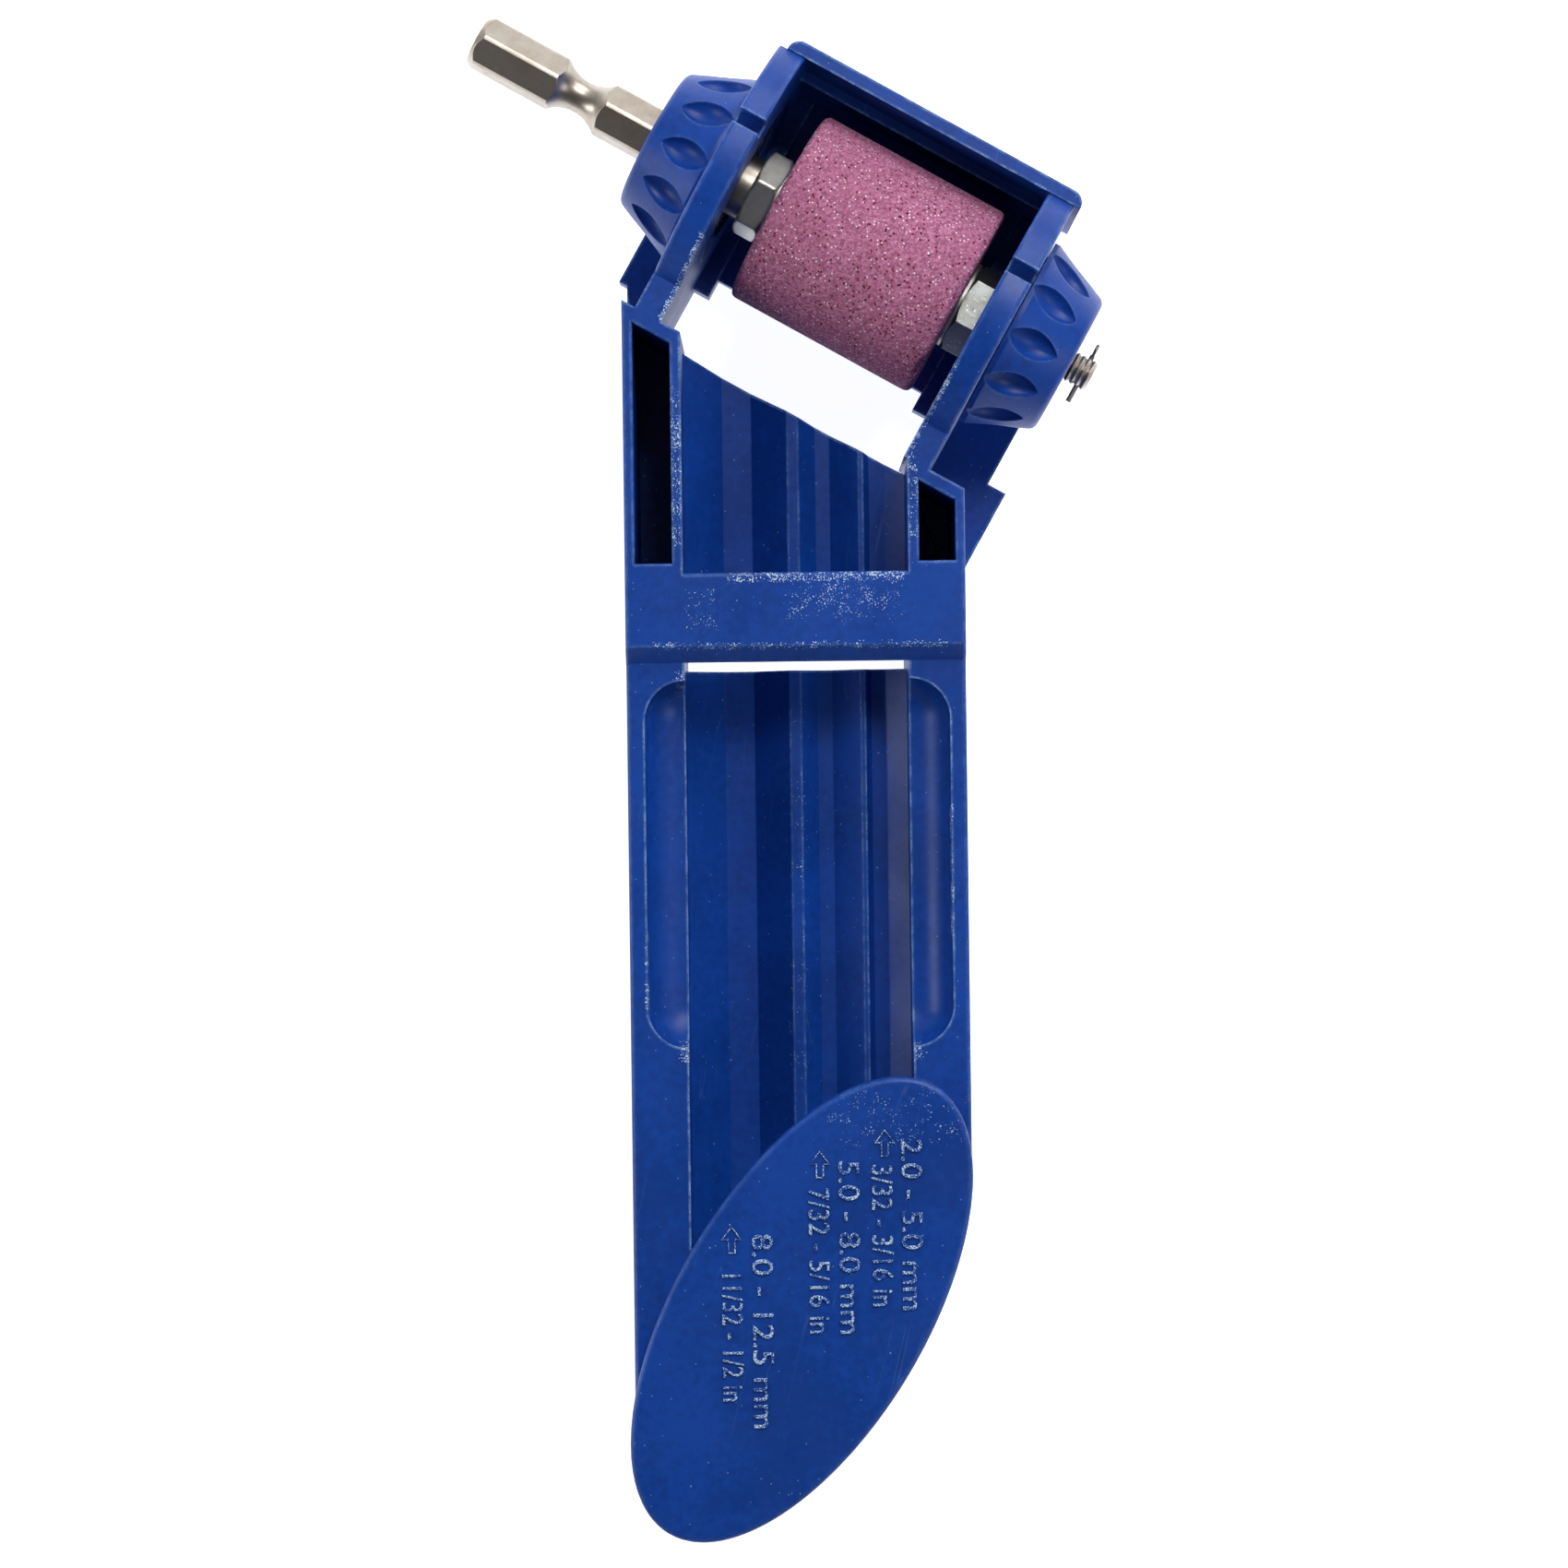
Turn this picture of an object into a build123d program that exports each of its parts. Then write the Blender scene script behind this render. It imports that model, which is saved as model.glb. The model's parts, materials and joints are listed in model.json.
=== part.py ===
"""Drill bit sharpener: a hand-held guide trough with a power-driven grinding wheel at its head.

Frame: +Z towards the user, back plane at Z = 0, X = 0 on the trough's centre line and
Y = 0 level with the middle of the grinding wheel.  The trough runs towards -Y.  The head is
turned clockwise about Z, so that a bit lying in a groove meets the wheel at its point angle.
"""
from build123d import *
import os
from math import cos, radians, sin, sqrt

os.makedirs("parts", exist_ok=True)

# ---------------------------------------------------------------- driving dimensions (mm)
HEAD_TILT = 29.5            # head turned clockwise, in degrees
WHEEL_X = 9.5               # middle of the wheel, to the right of the trough's centre line
HUB_Z = 18.0                # axis on which the two end knobs turn
ECCENTRICITY = 1.0          # the spindle runs off the knobs' axis, so turning them moves the wheel
AXLE_Z = HUB_Z + ECCENTRICITY
CLEAR = 0.08                # radial running clearance of plastic on plastic
PRESS_GAP = 0.01            # gap left between pieces pressed together

WHEEL_DIA = 25.0
WHEEL_LENGTH = 25.2
WHEEL_BORE = 6.1
WHEEL_EDGE = 0.5

# trough
TROUGH_HALF = 20.67
CHANNEL_LEFT = -13.6
CHANNEL_RIGHT = 13.75
FRONT_Z = AXLE_Z + 10.0     # front plane of the crossbar and the pocket frames
RAIL_Z = FRONT_Z - 2.0      # front plane of the rails below the crossbar
FRAME_TOP_W = -20.2         # top edge of the trough, measured down from the axle
BED_TOP_W = -21.4           # top end of the grooved bed
BED_THICKNESS = 2.2
BAR_TOP_Y = -39.4
BAR_FACE_END_Y = -48.3
BAR_BEVEL_END_Y = -50.2
BAR_UNDERSIDE_Z = AXLE_Z + 6.5
SLOT_TOP_Y = -41.0
SLOT_END_Y = -51.0
TROUGH_END_Y = -165.0

# side pockets, open to the front
POCKET_WALL_W = -22.0
POCKET_END_Y = -38.2
POCKET_FLOOR_Z = 3.0
LEFT_POCKET_X = (-19.4, -14.9)
RIGHT_POCKET_X = (15.1, 19.5)

# thumb scoops, one in each rail
SCOOP_RADIUS = 4.9
SCOOP_TOP_Y = -52.4
SCOOP_END_Y = -97.1

# hollows in the back of the rails
RAIL_WALL = 1.7
RAIL_HOLLOW_TOP_Z = 19.5
RAIL_RIB_PITCH = 20.0
BACK_RIB_LOW_Z = 5.5
BED_RIB_YS = (-68.0, -90.0, -112.0)

# oval plate over the tail
OVAL_X = -0.27
OVAL_Y = -128.9
OVAL_LONG = 31.6
OVAL_SHORT = 15.2
OVAL_LEAN = 31.5            # long axis leans clockwise from +Y, in degrees
OVAL_THICKNESS = 3.0
OVAL_OVERHANG = 0.5

# head
HEAD_CENTRE_U = -0.9        # middle of the head along the axle
CHEEK_IN = 16.85
CHEEK_OUT = 20.43
CHEEK_RADIUS = 19.0
TOP_INNER_W = 16.3
TOP_OUTER_W = 18.0
TOP_HALF = 20.26
TOP_CORNER = 1.8
TOP_FRONT_Z = AXLE_Z + 9.0
TOP_THICK_W = 15.0
TOP_THICK_Z = AXLE_Z - 1.0
BACK_PLATE = 2.5
BACK_PLATE_LOW_W = -10.3
RIB_LOW_W = -12.9
RIB_INNER = 14.7
RIB_HEIGHT = 4.5
SHELF_Z = 4.5
EAR_TOP_W = 8.0
EAR_LOW_W = -16.6
EAR_LEFT_U = -26.4
EAR_RIGHT_U = 26.7
WING_U = 29.25
NOTCH_W = (4.5, 6.4)        # notch across the top of each cheek
NOTCH_DEPTH = 3.4
GUSSET_LOW_W = 12.8         # gussets outside the cheeks, below the top wall
GUSSET_TOP_Z = 24.0
GUSSET_FOOT = 1.7
GUSSET_HEAD = 0.5

# rounded edges of the body
OVAL_RIM = 0.6
CHEEK_EDGE = 0.5
SIDE_EDGE = 0.5
POCKET_EDGE = 0.3

# end knobs, which carry the bearings
HUB_RADIUS = 10.5
KNOB_GAP = 0.1
KNOB_BASE_RADIUS = 12.4
KNOB_LAND = 0.7
KNOB_FACE = 29.25
KNOB_TAPER = 0.44
KNOB_EDGE = 1.2
FLUTES = 12
FLUTE_LENGTH = 7.4
FLUTE_DEPTH = 1.75
FLUTE_MIDDLE = 24.1
FLUTE_TURN = 5.0            # first flute, in degrees from the axle's height
KNOB_CAVITY_END = 26.8      # room beyond each bearing ends here, from the middle of the head
SHAFT_HOLE_START = 26.0
LEFT_CAVITY_RADIUS = 6.2
LEFT_HOLE_RADIUS = 4.1
RIGHT_MOUTH_RADIUS = 6.6
RIGHT_CAVITY_RADIUS = 4.2
RIGHT_HOLE_RADIUS = 2.3

# spindle
SHANK_TIP_U = -54.8
SHANK_FLATS = 6.35
SHANK_ROLL = 6.5            # the hexagon's front corner leans this much, in degrees
SHANK_INNER_U = -24.9
CORNER_TURNED = 0.14        # taken off the hexagon's corners
SHANK_CHAMFER = (0.9, 0.6)  # along the axle, and off the radius
NECK = (-43.6, -41.6, -38.9, -36.9)
NECK_RADIUS = 2.15
JOURNAL_RADIUS = 4.0
COLLAR_RADIUS = 4.8
COLLAR_WIDTH = 0.7
THREAD_RADIUS = 3.0
TIP_RADIUS = 2.0
TIP_THREAD_PITCH = 0.7
TIP_THREAD_DEPTH = 0.3
TIP_THREADS = 5
TIP_U = 31.4
PIN_U = 30.3
PIN_RADIUS = 0.32
PIN_LENGTH = 8.0
PIN_WIRE = 0.2
PIN_EYE_RADIUS = 0.7

NUT_FLATS = 10.0
NUT_HEIGHT = 3.2
NUT_CHAMFER = (0.42, 0.75)  # along the axle, and off the corners' radius
LEFT_NUT_ROLL = 9.5         # each nut's front corner leans this much, in degrees
RIGHT_NUT_ROLL = -26.0
WASHER_RADIUS = 5.6
WASHER_THICKNESS = 0.5
RETAINER_THICKNESS = 0.7
RETAINER_GROOVE = 0.45      # depth of the retaining rings' grooves in the knobs
LEFT_RETAINER_BORE = 6.9
RIGHT_RETAINER_BORE = 4.7
CLIP_RADIUS = 5.4           # outer radius of the circlip on the arbor
CLIP_GROOVE = 0.4
GROOVE_PLAY = 0.05
CLIP_PLAY = 0.02
RETAINER_TURN = 15          # where the rings' gaps are, in degrees
CLIP_TURN = 40

# bearings: bore, outside diameter, width, balls, ball diameter
LEFT_BEARING = {"bore": 8.0, "outside": 16.0, "width": 5.0, "balls": 8, "ball": 2.4}
RIGHT_BEARING = {"bore": 4.0, "outside": 11.0, "width": 4.0, "balls": 7, "ball": 2.0}
LEFT_BEARING_IN = 18.0      # bearing's inner end, from the middle of the head
RIGHT_BEARING_IN = 19.5

TILT = radians(HEAD_TILT)
U_DIR = Vector(cos(TILT), -sin(TILT), 0)    # along the axle, to the right
W_DIR = Vector(sin(TILT), cos(TILT), 0)     # across the axle, away from the trough
HEAD = Plane(origin=(WHEEL_X, 0, 0), x_dir=U_DIR, z_dir=(0, 0, 1))


# ---------------------------------------------------------------- helpers
def head_xy(u, w):
    """The model's X, Y of a point given along (u) and across (w) the axle."""
    return (WHEEL_X + u * cos(TILT) + w * sin(TILT), -u * sin(TILT) + w * cos(TILT))


def y_on_w(x, w):
    """Y where the line at distance w across the axle crosses X = x."""
    return (w - (x - WHEEL_X) * sin(TILT)) / cos(TILT)


def y_on_u(x, u):
    """Y where the line at distance u along the axle crosses X = x."""
    return ((x - WHEEL_X) * cos(TILT) - u) / sin(TILT)


def across(u):
    """Plane square to the axle at u: its x is across the axle and its y is the model's Z."""
    x, y = head_xy(u, 0)
    return Plane(origin=(x, y, 0), x_dir=W_DIR, z_dir=U_DIR)


def axle_plane(height, side=1, start=0.0):
    """Plane through an axle at this height: x runs outwards to the given side, from u = start."""
    x, y = head_xy(start, 0)
    return Plane(origin=(x, y, height), x_dir=U_DIR * side, z_dir=(0, 0, 1))


def axle_line(height):
    """The axle at this height, as an axis that points right along u."""
    x, y = head_xy(0, 0)
    return Axis((x, y, height), U_DIR)


def save(piece, name):
    """Label a finished piece and write it as its own STEP file."""
    piece.label = name
    export_step(piece, f"parts/{name}.step")


HUB_AXIS = axle_line(HUB_Z)
SPINDLE_AXIS = axle_line(AXLE_Z)


# ---------------------------------------------------------------- grooved bed
# top surface of the bed from left to right: X, and height above the spindle
GROOVES = [
    (CHANNEL_LEFT, -4.3),
    (-8.8, -9.1), (-5.2, -9.1),     # groove for the largest bits
    (-0.8, -4.7), (0.6, -4.7),
    (2.7, -6.8), (4.5, -6.8),       # middle groove
    (8.0, -3.6), (8.6, -3.6),
    (9.3, -5.0), (11.1, -5.0),      # groove for the smallest bits
    (CHANNEL_RIGHT, -3.3),
]
BED_TOP = [(x, AXLE_Z + z) for x, z in GROOVES]
BED_BOTTOM = [(x, z - BED_THICKNESS) for x, z in BED_TOP]

# the oval's widest chord, from its leftmost to its rightmost point
lean = radians(OVAL_LEAN)
oval_half_width = sqrt((OVAL_LONG * sin(lean)) ** 2 + (OVAL_SHORT * cos(lean)) ** 2)
chord_rise = (OVAL_LONG ** 2 - OVAL_SHORT ** 2) * sin(lean) * cos(lean) / oval_half_width
chord_slope = chord_rise / oval_half_width
FAR = 60.0                  # well past the trough on every side

with BuildPart() as tail_trim:
    with BuildSketch():
        with BuildLine():
            Polyline(
                (OVAL_X - FAR, OVAL_Y - FAR * chord_slope),
                (OVAL_X + FAR, OVAL_Y + FAR * chord_slope),
                (OVAL_X + FAR, TROUGH_END_Y - FAR),
                (OVAL_X - FAR, TROUGH_END_Y - FAR),
                close=True,
            )
        make_face()
        with Locations((OVAL_X, OVAL_Y)):
            Ellipse(
                OVAL_LONG - OVAL_OVERHANG,
                OVAL_SHORT - OVAL_OVERHANG,
                rotation=90 - OVAL_LEAN,
                mode=Mode.SUBTRACT,
            )
    extrude(amount=FRONT_Z + 1)


# ---------------------------------------------------------------- body: trough and head in one moulding
def cut_rail_hollows(left, right, rib_ys):
    """Hollows in the back of one rail, with a cross rib left between each pair."""
    for top, end in zip(rib_ys[:-1], rib_ys[1:]):
        with BuildSketch() as hollow:
            with Locations(((left + right) / 2, (top + end) / 2)):
                Rectangle(right - left, top - end - RAIL_WALL)
        extrude(hollow.sketch, amount=RAIL_HOLLOW_TOP_Z, mode=Mode.SUBTRACT)


def add_cheek(inner, outer):
    """One cheek of the head, between two places along the axle."""
    shoulder_w = -sqrt(CHEEK_RADIUS ** 2 - (FRONT_Z - HUB_Z) ** 2)
    top_z = HUB_Z + sqrt(CHEEK_RADIUS ** 2 - TOP_INNER_W ** 2)
    with BuildSketch(across(inner)) as cheek:
        with BuildLine():
            Line((TOP_INNER_W + 0.1, 0), (TOP_INNER_W, top_z))
            ThreePointArc((TOP_INNER_W, top_z), (0, HUB_Z + CHEEK_RADIUS), (shoulder_w, FRONT_Z))
            Polyline(
                (shoulder_w, FRONT_Z),
                (FRAME_TOP_W - 0.1, FRONT_Z),
                (FRAME_TOP_W - 0.1, 0),
                (TOP_INNER_W + 0.1, 0),
            )
        make_face()
    extrude(cheek.sketch, amount=outer - inner)


def lies_at(edge, axis, value):
    """Whether a whole edge lies at one value of the axis "X", "Y" or "Z"."""
    box = edge.bounding_box()
    return max(abs(getattr(box.min, axis) - value), abs(getattr(box.max, axis) - value)) < 0.01


def is_cheek_arc(edge):
    return abs(edge.radius - CHEEK_RADIUS) < 0.01


def is_side_edge(edge):
    """Long edges of the trough's sides, front and back, and the crossbar's top edge."""
    beside = lies_at(edge, "X", TROUGH_HALF) or lies_at(edge, "X", -TROUGH_HALF)
    level = lies_at(edge, "Z", 0) or lies_at(edge, "Z", RAIL_Z) or lies_at(edge, "Z", FRONT_Z)
    bar_top = lies_at(edge, "Y", BAR_TOP_Y) and lies_at(edge, "Z", FRONT_Z)
    return bar_top or (beside and level and edge.length > 3)


def is_pocket_edge(edge):
    """Edges of the pockets' mouths."""
    middle = edge.center()
    left = LEFT_POCKET_X[0] - 0.1 < middle.X < LEFT_POCKET_X[1] + 0.1
    right = RIGHT_POCKET_X[0] - 0.1 < middle.X < RIGHT_POCKET_X[1] + 0.1
    return lies_at(edge, "Z", FRONT_Z) and BAR_TOP_Y + 0.5 < middle.Y < -5 and (left or right)


left_cheek = (HEAD_CENTRE_U - CHEEK_OUT, HEAD_CENTRE_U - CHEEK_IN)
right_cheek = (HEAD_CENTRE_U + CHEEK_IN, HEAD_CENTRE_U + CHEEK_OUT)

with BuildPart() as body:
    # solid block of the trough, with its top end parallel to the axle
    with BuildSketch():
        with BuildLine():
            Polyline(
                (-TROUGH_HALF, y_on_w(-TROUGH_HALF, FRAME_TOP_W)),
                (TROUGH_HALF, y_on_w(TROUGH_HALF, FRAME_TOP_W)),
                (TROUGH_HALF, TROUGH_END_Y),
                (-TROUGH_HALF, TROUGH_END_Y),
                close=True,
            )
        make_face()
    extrude(amount=FRONT_Z)

    # channel above the grooves, and the open back below the bed
    with BuildSketch(Plane.XZ.offset(-FAR)):
        with BuildLine():
            Polyline(*BED_TOP, (CHANNEL_RIGHT, FRONT_Z + 1), (CHANNEL_LEFT, FRONT_Z + 1), close=True)
        make_face()
        with BuildLine():
            Polyline(*BED_BOTTOM, (CHANNEL_RIGHT, -1), (CHANNEL_LEFT, -1), close=True)
        make_face()
    extrude(amount=-TROUGH_END_Y + 2 * FAR, mode=Mode.SUBTRACT)

    # top end of the bed, set back from the frame's edge
    with BuildSketch():
        with BuildLine():
            Polyline(
                (CHANNEL_LEFT, y_on_w(CHANNEL_LEFT, FRAME_TOP_W + 1)),
                (CHANNEL_RIGHT, y_on_w(CHANNEL_RIGHT, FRAME_TOP_W + 1)),
                (CHANNEL_RIGHT, y_on_w(CHANNEL_RIGHT, BED_TOP_W)),
                (CHANNEL_LEFT, y_on_w(CHANNEL_LEFT, BED_TOP_W)),
                close=True,
            )
        make_face()
    extrude(amount=FRONT_Z, mode=Mode.SUBTRACT)

    # slot through the bed behind the crossbar
    with BuildSketch():
        with Locations(((CHANNEL_LEFT + CHANNEL_RIGHT) / 2, (SLOT_TOP_Y + SLOT_END_Y) / 2)):
            Rectangle(CHANNEL_RIGHT - CHANNEL_LEFT, SLOT_TOP_Y - SLOT_END_Y)
    extrude(amount=FRONT_Z, mode=Mode.SUBTRACT)

    # stiffening ribs under the bed
    for rib_y in BED_RIB_YS:
        with BuildSketch(Plane.XZ.offset(-rib_y)):
            with BuildLine():
                Polyline(
                    *BED_BOTTOM,
                    (CHANNEL_RIGHT, BACK_RIB_LOW_Z),
                    (CHANNEL_LEFT, BACK_RIB_LOW_Z),
                    close=True,
                )
            make_face()
        extrude(amount=RAIL_WALL)

    # crossbar over the channel
    with BuildSketch(Plane.YZ.offset(-TROUGH_HALF)):
        with BuildLine():
            Polyline(
                (BAR_TOP_Y, FRONT_Z),
                (BAR_FACE_END_Y, FRONT_Z),
                (BAR_BEVEL_END_Y, RAIL_Z),
                (BAR_BEVEL_END_Y, BAR_UNDERSIDE_Z),
                (BAR_TOP_Y, BAR_UNDERSIDE_Z),
                close=True,
            )
        make_face()
    extrude(amount=2 * TROUGH_HALF)

    # step down from the crossbar to the lower rails
    with BuildSketch(Plane.YZ.offset(-TROUGH_HALF - 1)):
        with BuildLine():
            Polyline(
                (BAR_FACE_END_Y, FRONT_Z),
                (BAR_BEVEL_END_Y, RAIL_Z),
                (TROUGH_END_Y, RAIL_Z),
                (TROUGH_END_Y, FRONT_Z + 1),
                (BAR_FACE_END_Y, FRONT_Z + 1),
                close=True,
            )
        make_face()
    extrude(amount=2 * TROUGH_HALF + 2, mode=Mode.SUBTRACT)

    # pockets beside the channel, their tops parallel to the axle
    for pocket_left, pocket_right in (LEFT_POCKET_X, RIGHT_POCKET_X):
        with BuildSketch(Plane.XY.offset(POCKET_FLOOR_Z)):
            with BuildLine():
                Polyline(
                    (pocket_left, y_on_w(pocket_left, POCKET_WALL_W)),
                    (pocket_right, y_on_w(pocket_right, POCKET_WALL_W)),
                    (pocket_right, POCKET_END_Y),
                    (pocket_left, POCKET_END_Y),
                    close=True,
                )
            make_face()
        extrude(amount=FRONT_Z, mode=Mode.SUBTRACT)

    # thumb scoops along the channel's edges
    scoop_ys = (SCOOP_TOP_Y - SCOOP_RADIUS, SCOOP_END_Y + SCOOP_RADIUS)
    for scoop_x in (CHANNEL_LEFT, CHANNEL_RIGHT):
        with Locations((scoop_x, sum(scoop_ys) / 2, RAIL_Z)):
            Cylinder(SCOOP_RADIUS, scoop_ys[0] - scoop_ys[1], rotation=(90, 0, 0), mode=Mode.SUBTRACT)
        with Locations(*[(scoop_x, y, RAIL_Z) for y in scoop_ys]):
            Sphere(SCOOP_RADIUS, mode=Mode.SUBTRACT)

    # hollows in the rails' backs, below the pockets
    rib_ys = [POCKET_END_Y - RAIL_WALL - RAIL_RIB_PITCH * i for i in range(5)]
    cut_rail_hollows(-TROUGH_HALF + RAIL_WALL, CHANNEL_LEFT - RAIL_WALL, rib_ys)
    cut_rail_hollows(CHANNEL_RIGHT + RAIL_WALL, TROUGH_HALF - RAIL_WALL, rib_ys[:4])

    # tail cut to the oval's outline, then the oval plate itself
    add(tail_trim.part, mode=Mode.SUBTRACT)
    with BuildSketch(Plane.XY.offset(FRONT_Z - OVAL_THICKNESS)):
        with Locations((OVAL_X, OVAL_Y)):
            Ellipse(OVAL_LONG, OVAL_SHORT, rotation=90 - OVAL_LEAN)
    extrude(amount=OVAL_THICKNESS)

    # cheeks of the head
    add_cheek(*left_cheek)
    add_cheek(*right_cheek)

    # plate behind the wheel, with a rib beside each cheek
    plate_middle_u = (left_cheek[0] + right_cheek[1]) / 2
    plate_width = right_cheek[1] - left_cheek[0]
    with BuildSketch(HEAD):
        with Locations((plate_middle_u, (TOP_INNER_W + 0.1 + BACK_PLATE_LOW_W) / 2)):
            Rectangle(plate_width, TOP_INNER_W + 0.1 - BACK_PLATE_LOW_W)
    extrude(amount=BACK_PLATE)
    rib_middle = (RIB_INNER + CHEEK_IN + 0.1) / 2
    with BuildSketch(HEAD):
        for side in (-1, 1):
            with Locations((HEAD_CENTRE_U + side * rib_middle, (TOP_INNER_W + RIB_LOW_W) / 2)):
                Rectangle(CHEEK_IN + 0.1 - RIB_INNER, TOP_INNER_W - RIB_LOW_W)
    extrude(amount=RIB_HEIGHT)

    # top wall: a thin front lip and a thicker rear part
    with BuildSketch(HEAD):
        with Locations((0, (TOP_INNER_W + TOP_OUTER_W) / 2)):
            Rectangle(2 * TOP_HALF, TOP_OUTER_W - TOP_INNER_W)
        fillet(vertices().group_by(Axis.Y)[-1], TOP_CORNER * 0.9)
    extrude(amount=TOP_FRONT_Z)
    with BuildSketch(HEAD):
        with Locations((HEAD_CENTRE_U, (TOP_THICK_W + TOP_INNER_W + 0.1) / 2)):
            Rectangle(2 * CHEEK_IN + 0.2, TOP_INNER_W + 0.1 - TOP_THICK_W)
    extrude(amount=TOP_THICK_Z)

    # shelf behind the knobs: an ear on each side, and the wing down to the trough's right wall
    with BuildSketch():
        with BuildLine():
            Polyline(
                head_xy(EAR_LEFT_U, EAR_TOP_W),
                head_xy(left_cheek[0] + 1, EAR_TOP_W),
                head_xy(left_cheek[0] + 1, FRAME_TOP_W - 1),
                (-TROUGH_HALF, y_on_w(-TROUGH_HALF, FRAME_TOP_W - 1)),
                (-TROUGH_HALF, y_on_w(-TROUGH_HALF, EAR_LOW_W)),
                head_xy(EAR_LEFT_U, EAR_LOW_W),
                close=True,
            )
        make_face()
        with BuildLine():
            Polyline(
                head_xy(EAR_RIGHT_U, EAR_TOP_W),
                head_xy(right_cheek[1] - 1, EAR_TOP_W),
                head_xy(right_cheek[1] - 1, FRAME_TOP_W - 1),
                (TROUGH_HALF - 1, y_on_u(TROUGH_HALF - 1, WING_U)),
                (TROUGH_HALF, y_on_u(TROUGH_HALF, WING_U)),
                head_xy(WING_U, EAR_LOW_W),
                head_xy(EAR_RIGHT_U, EAR_LOW_W),
                close=True,
            )
        make_face()
    extrude(amount=SHELF_Z)

    # gussets that stiffen the ends of the top wall
    gusset_origin = (*head_xy(HEAD_CENTRE_U, TOP_INNER_W + 0.1), 0)
    with BuildSketch(Plane(origin=gusset_origin, x_dir=U_DIR, z_dir=-W_DIR)) as gussets:
        for side in (-1, 1):
            with BuildLine():
                Polyline(
                    (side * (CHEEK_OUT - 0.5), 0),
                    (side * (CHEEK_OUT + GUSSET_FOOT), 0),
                    (side * (CHEEK_OUT + GUSSET_HEAD), GUSSET_TOP_Z),
                    (side * (CHEEK_OUT - 0.5), GUSSET_TOP_Z),
                    close=True,
                )
            make_face()
    extrude(gussets.sketch, amount=TOP_INNER_W + 0.1 - GUSSET_LOW_W)

    # hub holes through the cheeks, and a notch across the top of each cheek
    notch_floor = HUB_Z + sqrt(CHEEK_RADIUS ** 2 - NOTCH_W[1] ** 2) - NOTCH_DEPTH
    for inner, outer in (left_cheek, right_cheek):
        with BuildSketch(across(inner - 0.5)):
            with Locations((0, HUB_Z)):
                Circle(HUB_RADIUS + CLEAR)
            with Locations((sum(NOTCH_W) / 2, notch_floor + CHEEK_RADIUS / 2)):
                Rectangle(NOTCH_W[1] - NOTCH_W[0], CHEEK_RADIUS)
        extrude(amount=outer - inner + 1, mode=Mode.SUBTRACT)

    # rounded edges
    fillet(edges().filter_by(GeomType.ELLIPSE).group_by(Axis.Z)[-1], OVAL_RIM)
    fillet(edges().filter_by(GeomType.CIRCLE).filter_by(is_cheek_arc), CHEEK_EDGE)
    fillet(edges().filter_by(is_side_edge), SIDE_EDGE)
    fillet(edges().filter_by(is_pocket_edge), POCKET_EDGE)

save(body.part, "body")


# ---------------------------------------------------------------- end knobs
def flute_cutter(side, turn):
    """A spindle-shaped cutter that lies along the knob's cone and scoops one grip flute."""
    half = FLUTE_LENGTH / 2
    with BuildPart() as cutter:
        with BuildSketch():
            with BuildLine():
                ThreePointArc((-half, 0), (0, FLUTE_DEPTH), (half, 0))
                Line((half, 0), (-half, 0))
            make_face()
        revolve(axis=Axis.X)
    middle_radius = KNOB_BASE_RADIUS - KNOB_TAPER * (FLUTE_MIDDLE - CHEEK_OUT - KNOB_GAP - KNOB_LAND)
    around = radians(turn)
    radial = W_DIR * cos(around) + Vector(0, 0, 1) * sin(around)
    outwards = U_DIR * side
    x, y = head_xy(HEAD_CENTRE_U + side * FLUTE_MIDDLE, 0)
    middle = Vector(x, y, HUB_Z) + radial * (middle_radius + 0.1)
    along = outwards - radial * KNOB_TAPER
    return Plane(origin=middle, x_dir=along, z_dir=along.cross(radial)).location * cutter.part


def knob_blank(side):
    """Hub, cone and fluted rim of one knob, before it is bored."""
    inner_end = CHEEK_OUT + KNOB_GAP
    face_radius = KNOB_BASE_RADIUS - KNOB_TAPER * (KNOB_FACE - inner_end - KNOB_LAND)
    with BuildPart() as blank:
        with BuildSketch(axle_plane(HUB_Z, side, HEAD_CENTRE_U)):
            with BuildLine():
                Polyline(
                    (CHEEK_IN, 0),
                    (CHEEK_IN, HUB_RADIUS),
                    (inner_end, HUB_RADIUS),
                    (inner_end, KNOB_BASE_RADIUS),
                    (inner_end + KNOB_LAND, KNOB_BASE_RADIUS),
                    (KNOB_FACE, face_radius),
                    (KNOB_FACE, 0),
                    close=True,
                )
            make_face()
        revolve(axis=HUB_AXIS)
        rim = edges().filter_by(GeomType.CIRCLE).sort_by(Axis((0, 0, 0), U_DIR * side))[-1]
        fillet(rim, KNOB_EDGE)
        for i in range(FLUTES):
            add(flute_cutter(side, FLUTE_TURN + i * 360 / FLUTES), mode=Mode.SUBTRACT)
    return blank.part


def bore(side, steps):
    """Bores on the spindle's axis, each from one place to another outwards: start, end, radius."""
    for start, end, radius in steps:
        with BuildSketch(axle_plane(AXLE_Z, side, HEAD_CENTRE_U)) as step:
            with Locations(((start + end) / 2, radius / 2)):
                Rectangle(end - start, radius)
        revolve(step.sketch, axis=SPINDLE_AXIS, mode=Mode.SUBTRACT)


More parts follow.
